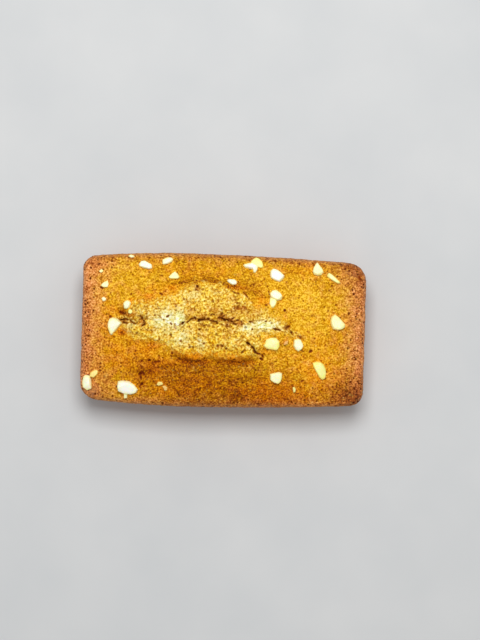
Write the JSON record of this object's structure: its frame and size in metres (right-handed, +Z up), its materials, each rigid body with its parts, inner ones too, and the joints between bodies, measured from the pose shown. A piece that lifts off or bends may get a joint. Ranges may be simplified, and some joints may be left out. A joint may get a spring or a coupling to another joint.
{
  "type": "financier cake",
  "caption": "Small almond sponge bar baked in a flared tin, with a domed top that has burst open along the middle and chopped almonds baked into its crust.",
  "frame": {"origin": "middle of the flat base the cake stands on", "axes": "+X along the cake, towards the blunter end of the burst; +Y across it, towards the lip with the soft edge; +Z up, out of the domed top"},
  "size_m": [0.085, 0.046, 0.024],
  "materials": {
    "sponge": "dry browned sponge crust with fine pores, open pale crumb along the burst"
  },
  "bodies": {
    "root": {"financier_cake": "sponge"}
  },
  "joints": []
}
